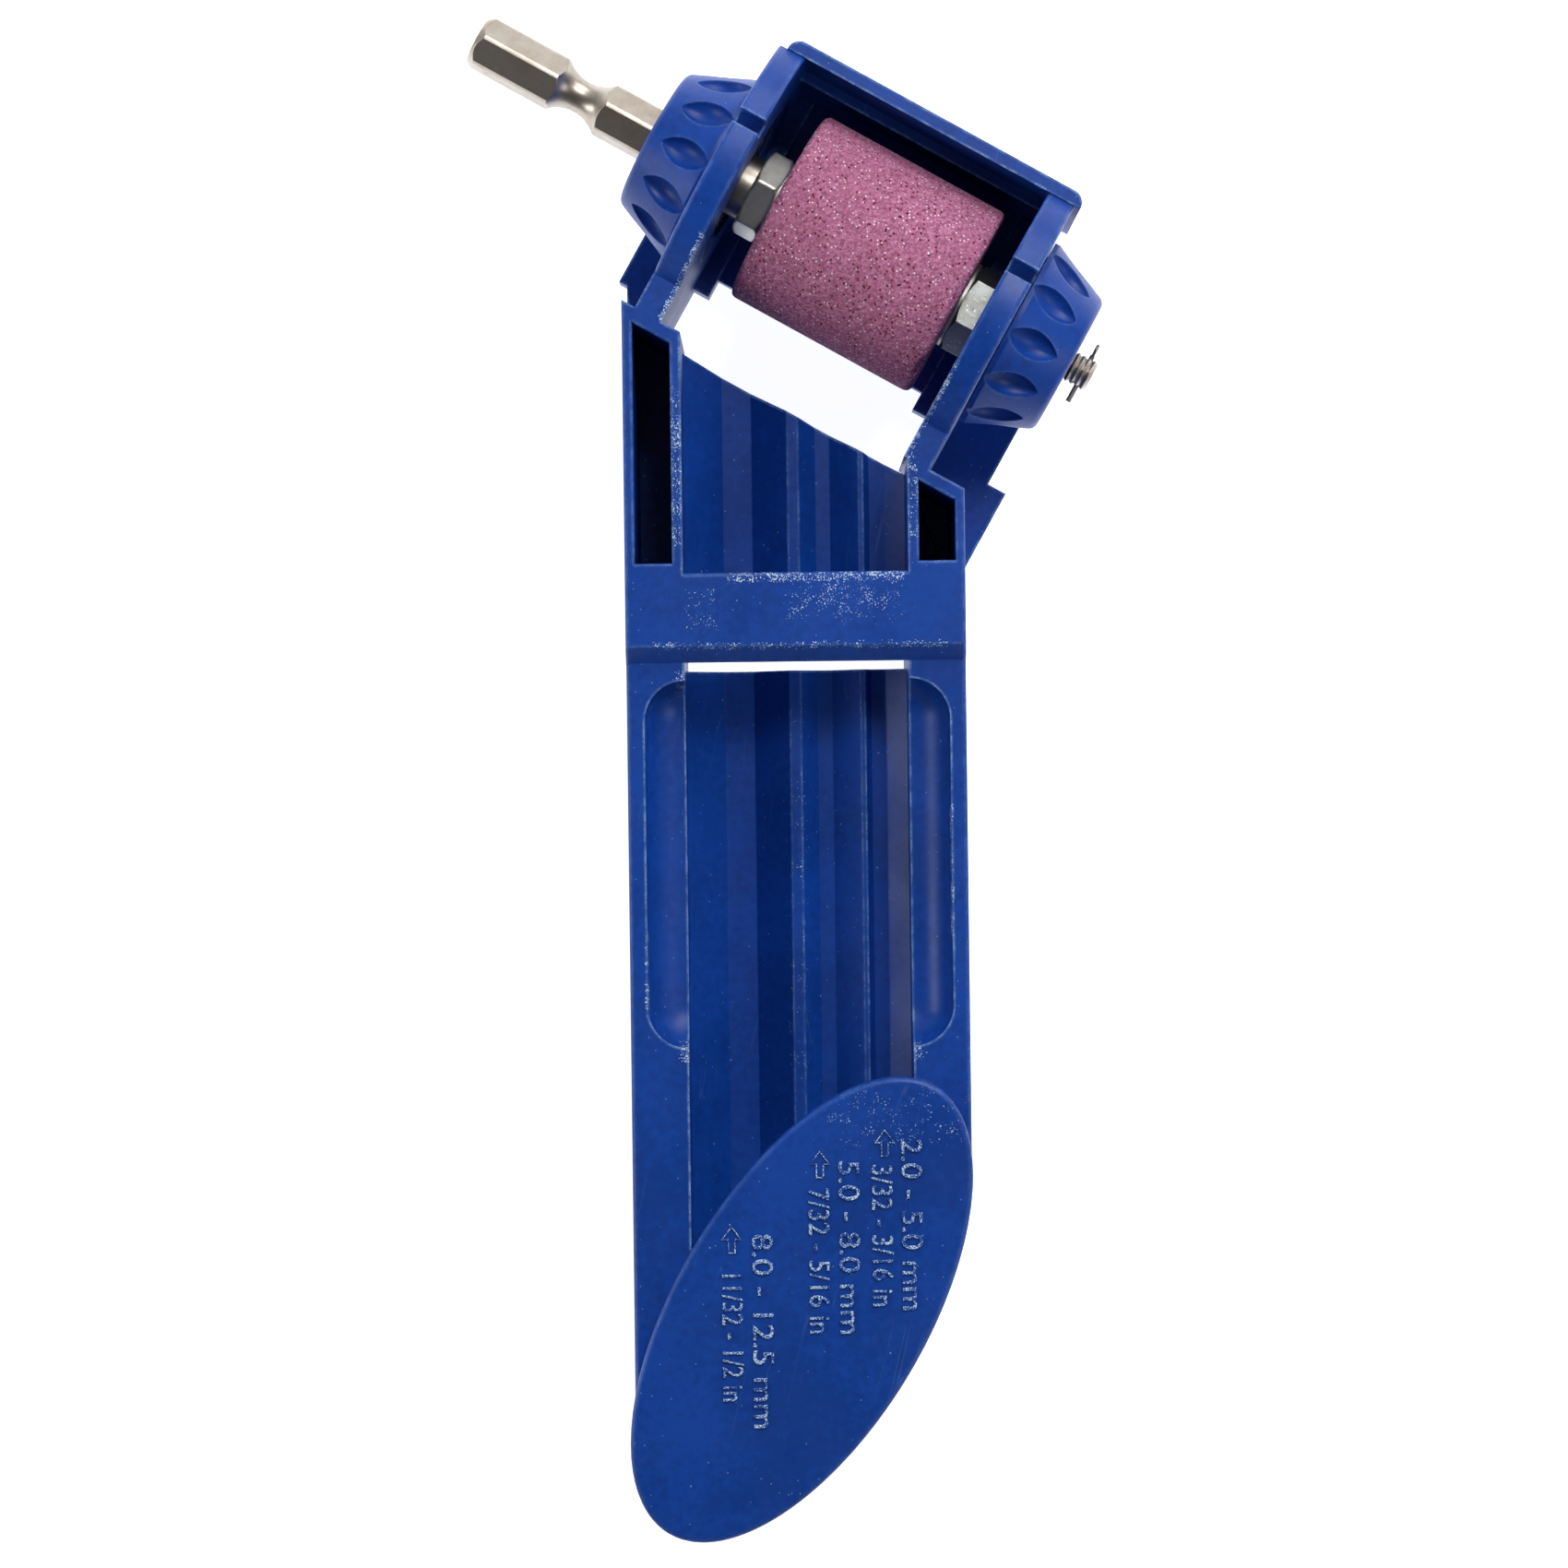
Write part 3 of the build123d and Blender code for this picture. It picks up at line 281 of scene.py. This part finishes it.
def corundum(name):
    """Vitrified pink corundum: grains of several pinks, white and dark red grains, open pores darkened with
    painted shade.
    """
    t = Tree(name)
    tint = t.vector("DOT_PRODUCT", t.cells(4200, "Color"), (0.5, 0.3, 0.2))
    colour = t.mix(t.fade(tint, 0.30, 0.70), (0.335, 0.092, 0.195, 1.0), (0.535, 0.198, 0.345, 1.0))
    colour = t.mix(t.fade(t.noise(110, 4, 0.6), 0.35, 0.70, 0.0, 0.35), colour, (0.36, 0.11, 0.20, 1.0))
    white = t.specks(2300, 0.30, 0.40)
    colour = t.mix(white, colour, (0.90, 0.76, 0.84, 1.0))
    colour = t.mix(t.specks(1500, 0.31, 0.52), colour, (0.170, 0.008, 0.028, 1.0))
    colour = t.mix(t.specks(1150, 0.23, 0.30), colour, (0.035, 0.005, 0.010, 1.0))
    pores = t.fade(t.noise(2000, 3, 0.6), 0.36, 0.50)
    # painted shade: darker pink in the pores
    colour = t.mix(t.fade(pores, 1.0, 0.0, 0.0, 0.45), colour, (0.17, 0.04, 0.09, 1.0))
    height = t.math("ADD", t.math("MULTIPLY", t.cells(4200), -0.6), pores)
    height = t.math("ADD", height, t.math("MULTIPLY", white, 0.4))
    normal = t.bump(height, 0.7, 0.08 * MM)
    gloss = t.fade(white, 0.0, 1.0, 0.88, 0.45)
    return t.shade(Base_Color=colour, Roughness=gloss, Normal=normal)


def set_material(name, material):
    piece = frame["nodes"][name]
    piece.data.materials.clear()
    piece.data.materials.append(material)


def chip_box(x, y, z, soft, strength):
    """A box of white chips from ranges in mm, fading over soft mm: mostly scuffs, in a few places a painted
    highlight.
    """
    low, high = (Vector(corner) * MM for corner in zip(x, y, z))
    return low, high, soft * MM, strength


# the letters' tops: white chips as a painted highlight
MARK_TOPS = chip_box((-12, 17), (-150, -104), (29.12, 29.6), 0.04, 1.5)
SCUFFS_AND_HIGHLIGHTS = (
    chip_box((-8, 13), (-40.4, -39.6), (28.2, 29.5), 0.6, 1.15),       # crossbar, top edge
    chip_box((0, 12), (-44.0, -40.0), (28.2, 29.5), 2.5, 0.62),        # crossbar, upper right
    chip_box((-13, -10), (-45.5, -42.0), (28.2, 29.5), 1.5, 0.50),     # crossbar, left
    chip_box((-17, 19), (-48.5, -48.0), (27.5, 29.5), 0.5, 0.85),      # crossbar, lower edge
    chip_box((-14.7, -13.5), (-36, -17), (27, 29.5), 0.5, 1.00),       # left pocket's inner wall
    chip_box((13.6, 14.8), (-36, -25), (27, 29.5), 0.5, 0.80),         # right pocket's inner wall
    chip_box((-14.5, -13.0), (-53.0, -51.5), (22, 28), 0.8, 0.9),      # ends of the scoops
    chip_box((-14.5, -13.0), (-98.5, -96.5), (22, 28), 0.8, 1.0),
    chip_box((12.5, 14.5), (-98.5, -96.5), (22, 28), 0.8, 0.8),
    chip_box((-18.7, -17.6), (-93, -83), (26, 28), 0.4, 1.0),          # outer rims of the scoops
    chip_box((17.9, 18.7), (-84, -66), (26, 28), 0.4, 1.2),
    chip_box((-1.2, 1.0), (-100, -55), (12, 16), 0.6, 0.10),           # ridge between the larger grooves: white chips as a painted highlight on its top
    chip_box((4, 19), (-108, -103), (28.4, 29.1), 2.0, 0.35),          # oval plate, upper rim
    MARK_TOPS,
)
HEAD_SCUFFED = (
    chip_box((-18.3, -17.8), (-20, -9), (27, 37), 0.2, 1.3),           # inner edges of the cheeks
    chip_box((16.0, 16.5), (-19, -8), (27, 37), 0.2, 1.1),
)
PLASTIC = blue_plastic("moulded_blue_plastic", SCUFFS_AND_HIGHLIGHTS, HEAD_SCUFFED)
# letters and arrows: less edge wear, with the painted highlight on the letters' tops
MARK_PLASTIC = blue_plastic("mark_blue_plastic", (MARK_TOPS,), wear=0.4)
KNOB_PLASTIC = blue_plastic("knob_blue_plastic", wear=0.2)
NICKEL = plated_steel("nickel_steel", (0.46, 0.415, 0.365, 1.0), 0.33, U_DIR)
ZINC = plated_steel("zinc_steel", (0.74, 0.74, 0.70, 1.0), 0.36, W_DIR, stained=0.1, edge=0.5 * MM)
DENTED_ZINC = plated_steel("dented_zinc_steel", (0.30, 0.315, 0.305, 1.0), 0.36, W_DIR, dents=0.8)
SPRING = plated_steel("spring_steel", (0.20, 0.19, 0.175, 1.0), 0.35, W_DIR)
BEARING = plated_steel("bearing_steel", (0.62, 0.62, 0.61, 1.0), 0.16, U_DIR)

FINISHES = {
    PLASTIC: ("body",),
    KNOB_PLASTIC: ("knob_left", "knob_right"),
    NICKEL: ("arbor",),
    ZINC: ("nut_left", "washer_left", "washer_right"),
    DENTED_ZINC: ("nut_right",),
    SPRING: ("cotter_pin", "arbor_circlip", "retaining_ring_left", "retaining_ring_right"),
    BEARING: [node for node in frame["nodes"] if "bearing" in node],
}
for material, nodes in FINISHES.items():
    for node in nodes:
        set_material(node, material)


# ---------------------------------------------------------------- grinding wheel
def mesh_piece(name, mesh, material, body):
    mesh.materials.append(material)
    piece = bpy.data.objects.new(name, mesh)
    bpy.context.scene.collection.objects.link(piece)
    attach(piece, body)
    return piece


WHEEL_RADIUS = (wheel_high.z - wheel_low.z) / 2
WHEEL_HALF = 12.6 * MM          # half its length
WHEEL_BORE = 3.05 * MM          # radius of its bore
WHEEL_EDGE = 0.8 * MM           # rounding of its rims
WHEEL_AROUND = 320              # steps of the mesh around the wheel
PIT_DEPTH = 0.10 * MM
CHIP_DEPTH = 1.1 * MM
CHIP_REACH = 0.9 * MM           # how far from the rims the chips reach


def wheel_profile():
    """Half of the wheel's section, from bore to bore, as distances along the axle and from it."""
    face_steps, rim_steps, skin_steps = 14, 5, 120
    half, edge = WHEEL_HALF, WHEEL_EDGE
    face_height = WHEEL_RADIUS - edge - WHEEL_BORE
    left = [(-half, WHEEL_BORE + face_height * i / face_steps) for i in range(face_steps)]
    for i in range(rim_steps + 1):
        turn = math.pi / 2 * i / rim_steps
        left.append((-half + edge * (1 - math.cos(turn)), WHEEL_RADIUS - edge * (1 - math.sin(turn))))
    skin_length = 2 * half - 2 * edge
    skin = [(-half + edge + skin_length * i / skin_steps, WHEEL_RADIUS) for i in range(1, skin_steps)]
    right = [(-u, r) for u, r in reversed(left)]
    return left + skin + right


def worn_point(u, r, direction):
    """A point of the wheel's surface, sunk in by pits all over and by chips along the rims."""
    point = WHEEL_MIDDLE + U_DIR * u + direction * r
    if r <= WHEEL_BORE + 0.2 * MM:
        return point
    pit = max(0.0, noise.noise(point * 1400) - 0.05) * PIT_DEPTH
    near_face = max(0.0, 1 - (WHEEL_HALF - abs(u)) / CHIP_REACH)
    near_rim = near_face * max(0.0, 1 - (WHEEL_RADIUS - r) / CHIP_REACH)
    chip = max(0.0, noise.noise(point * 420) - 0.12) * CHIP_DEPTH * near_rim
    inward = direction * min(1.0, max(0.0, (r - WHEEL_BORE) / MM)) * (pit + chip)
    on_face = r < WHEEL_RADIUS - WHEEL_EDGE
    across = U_DIR * math.copysign(chip * 0.8 + (pit if on_face else 0.0), u)
    return point - inward - across


def make_wheel_mesh():
    built = bmesh.new()
    rings = []
    for u, r in wheel_profile():
        ring = []
        for i in range(WHEEL_AROUND):
            turn = 2 * math.pi * i / WHEEL_AROUND
            direction = W_DIR * math.cos(turn) + Vector((0, 0, 1)) * math.sin(turn)
            ring.append(built.verts.new(worn_point(u, r, direction)))
        rings.append(ring)
    for first, second in zip(rings, rings[1:] + rings[:1]):
        for i in range(WHEEL_AROUND):
            j = (i + 1) % WHEEL_AROUND
            built.faces.new((first[i], first[j], second[j], second[i]))
    bmesh.ops.recalc_face_normals(built, faces=built.faces)
    mesh = bpy.data.meshes.new("wheel_grain")
    built.to_mesh(mesh)
    built.free()
    for polygon in mesh.polygons:
        polygon.use_smooth = True
    return mesh


wheel = mesh_piece("wheel_grain", make_wheel_mesh(), corundum("pink_corundum"), "spindle")
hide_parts("grinding_wheel")


# ---------------------------------------------------------------- size marks on the oval plate
PLATE_TOP_Y = -110 * MM         # the body is at its full front height from here to its lower end
FRONT_Z = max(v.co.z for v in frame["nodes"]["body"].data.vertices if v.co.y < PLATE_TOP_Y)
MARK_HEIGHT = 2.6 * MM          # height of the capitals
MARK_RAISE = 0.2 * MM           # how far the letters stand above and below FRONT_Z, without the bevel
MARK_BEVEL = 0.05 * MM
MARK_THINNED = 0.03 * MM        # taken off the letters' outline, against the bevel that thickens it
FONT_SIZE = MARK_HEIGHT * 1.38  # the font's capitals are shorter than its size
# X of a line's middle and Y of its top end, its words, and its length, all in mm
MARK_LINES = (
    (13.3, -108.2, "2.0 - 5.0 mm", 20.8),
    (9.7, -111.2, "3/32 - 3/16 in", 17.3),
    (5.7, -110.7, "5.0 - 8.0 mm", 21.1),
    (2.0, -114.0, "7/32 - 5/16 in", 17.7),
    (-4.9, -119.5, "8.0 - 12.5 mm", 23.6),
    (-8.6, -123.9, "11/32 - 1/2 in", 15.9),
)
# where the middle of each arrow is, and the outline of one, in mm
ARROWS = ((10.0, -108.8), (2.1, -111.3), (-8.7, -120.3))
ARROW_OUTLINE = (
    (0, 1.6), (1.15, 0.1), (0.42, 0.1), (0.42, -1.55), (-0.42, -1.55), (-0.42, 0.1), (-1.15, 0.1),
)
ARROW_LINE = 0.26 * MM


def mesh_from_curve(curve):
    """The mesh of a curve or text, made through an object that is removed again."""
    drawn = bpy.data.objects.new(curve.name, curve)
    bpy.context.scene.collection.objects.link(drawn)
    bpy.context.view_layer.update()
    mesh = bpy.data.meshes.new_from_object(drawn)
    bpy.data.objects.remove(drawn)
    return mesh


def mark_mesh(words, length):
    """Raised lettering of a given length, its baseline along +X from the origin."""
    curve = bpy.data.curves.new("mark", "FONT")
    curve.body = words
    curve.size = FONT_SIZE
    curve.extrude = MARK_RAISE
    curve.bevel_depth = MARK_BEVEL
    curve.bevel_resolution = 1
    curve.offset = -MARK_THINNED
    mesh = mesh_from_curve(curve)
    width = max(v.co.x for v in mesh.vertices)
    mesh.transform(Matrix.Diagonal((length / width, 1, 1, 1)))
    return mesh


for index, (x, top_y, words, length) in enumerate(MARK_LINES):
    mesh = mark_mesh(words, length * MM)
    turn = Matrix.Rotation(-math.pi / 2, 4, "Z")
    mesh.transform(Matrix.Translation((x * MM - MARK_HEIGHT / 2, top_y * MM, FRONT_Z)) @ turn)
    mesh_piece(f"size_mark_{index + 1}", mesh, MARK_PLASTIC, "frame")


def arrow_mesh(x, y):
    """A raised outline arrow that points to +Y."""
    curve = bpy.data.curves.new("arrow", "CURVE")
    curve.dimensions = "3D"
    curve.bevel_depth = ARROW_LINE / 2
    curve.bevel_resolution = 2
    outline = curve.splines.new("POLY")
    outline.points.add(len(ARROW_OUTLINE) - 1)
    outline.use_cyclic_u = True
    for point, (across, along) in zip(outline.points, ARROW_OUTLINE):
        point.co = ((x + across) * MM, (y + along) * MM, FRONT_Z + MARK_RAISE / 2, 1.0)
    return mesh_from_curve(curve)


for index, (x, y) in enumerate(ARROWS):
    mesh_piece(f"size_arrow_{index + 1}", arrow_mesh(x, y), MARK_PLASTIC, "frame")


# ---------------------------------------------------------------- floor, light and camera
FLOOR_HALF = 4.0                # half its side, in metres
FLOOR_GAP = 0.3 * MM            # how far it lies under the part
LIGHT_AIM = Vector((0, -0.06, 0.02))
# each soft box: angle from the zenith, compass angle, distance, width and height, and power
LIGHTS = {
    "key": (34, 25, 0.50, (0.18, 0.13), 1.12),
    "back_box": (60, 28, 0.95, (0.5, 0.26), 2.6),
    "left_box": (63, -90, 0.9, (0.45, 0.30), 2.2),
    "right_box": (50, 118, 0.95, (0.40, 0.35), 1.5),
}
# the surroundings' strength: a direction's part, its range, and the strengths at the range's ends
GLOWS = (("Z", 0.05, 0.55, 0.42, 0.10), ("Y", 0.15, 0.95, 0.0, 0.40))
CAMERA_PLACE = (-0.00165, -0.0651, 0.619)
CAMERA_ROLL = -0.0125
LENS, SENSOR = 111.8, 36.0      # in mm


def make_floor():
    """A pale floor that gives off some light of its own, so that it comes out nearly white."""
    t = Tree("pale_floor")
    tone = t.mix(t.noise(6, 2), (0.86, 0.87, 0.89, 1.0), (0.90, 0.90, 0.92, 1.0))
    material = t.shade(Base_Color=tone, Roughness=0.8, Emission_Color=(0.97, 0.98, 1.0, 1.0),
                       Emission_Strength=0.95)
    body_low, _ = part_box("body")
    level = body_low.z - FLOOR_GAP
    corners = [(x * FLOOR_HALF, y * FLOOR_HALF, level) for x, y in ((-1, -1), (1, -1), (1, 1), (-1, 1))]
    mesh = bpy.data.meshes.new("floor")
    mesh.from_pydata(corners, [], [(0, 1, 2, 3)])
    mesh.materials.append(material)
    floor = bpy.data.objects.new("floor", mesh)
    bpy.context.scene.collection.objects.link(floor)


def area_light(name, from_zenith, compass, distance, size, power):
    """A soft box seen from the part at this angle from the zenith. Compass 0 is +Y and 90 is +X."""
    tilt, turn = math.radians(from_zenith), math.radians(compass)
    direction = Vector((math.sin(tilt) * math.sin(turn), math.sin(tilt) * math.cos(turn), math.cos(tilt)))
    light = bpy.data.lights.new(name, "AREA")
    light.shape = "RECTANGLE"
    light.size, light.size_y = size
    light.energy = power
    lamp = bpy.data.objects.new(name, light)
    bpy.context.scene.collection.objects.link(lamp)
    lamp.location = LIGHT_AIM + direction * distance
    lamp.rotation_euler = direction.to_track_quat("Z", "Y").to_euler()


def make_world():
    """Soft studio surroundings: dim overhead, brighter towards +Y and near the horizon."""
    world = bpy.data.worlds.new("studio")
    world.use_nodes = True
    nodes, links = world.node_tree.nodes, world.node_tree.links
    background = nodes["Background"]
    coordinates = nodes.new("ShaderNodeTexCoord")
    direction = nodes.new("ShaderNodeSeparateXYZ")
    links.new(coordinates.outputs["Generated"], direction.inputs[0])
    glow = []
    for axis, low, high, to_low, to_high in GLOWS:
        fade = nodes.new("ShaderNodeMapRange")
        fade.interpolation_type = "SMOOTHSTEP"
        links.new(direction.outputs[axis], fade.inputs[0])
        for socket, value in zip(fade.inputs[1:5], (low, high, to_low, to_high)):
            socket.default_value = value
        glow.append(fade.outputs[0])
    total = nodes.new("ShaderNodeMath")
    links.new(glow[0], total.inputs[0])
    links.new(glow[1], total.inputs[1])
    links.new(total.outputs[0], background.inputs["Strength"])
    background.inputs["Color"].default_value = (0.98, 0.98, 1.0, 1.0)
    bpy.context.scene.world = world


def make_camera():
    """The camera straight above the trough, a little turned. Its depth of field stays off."""
    camera_data = bpy.data.cameras.new("camera")
    camera_data.lens = LENS
    camera_data.sensor_width = SENSOR
    camera_data.clip_start = 10 * MM
    camera = bpy.data.objects.new("camera", camera_data)
    bpy.context.scene.collection.objects.link(camera)
    camera.location = CAMERA_PLACE
    camera.rotation_euler = (0, 0, CAMERA_ROLL)
    bpy.context.scene.camera = camera


make_floor()
make_world()
for name, settings in LIGHTS.items():
    area_light(name, *settings)
make_camera()
bpy.context.scene.view_settings.view_transform = "Standard"
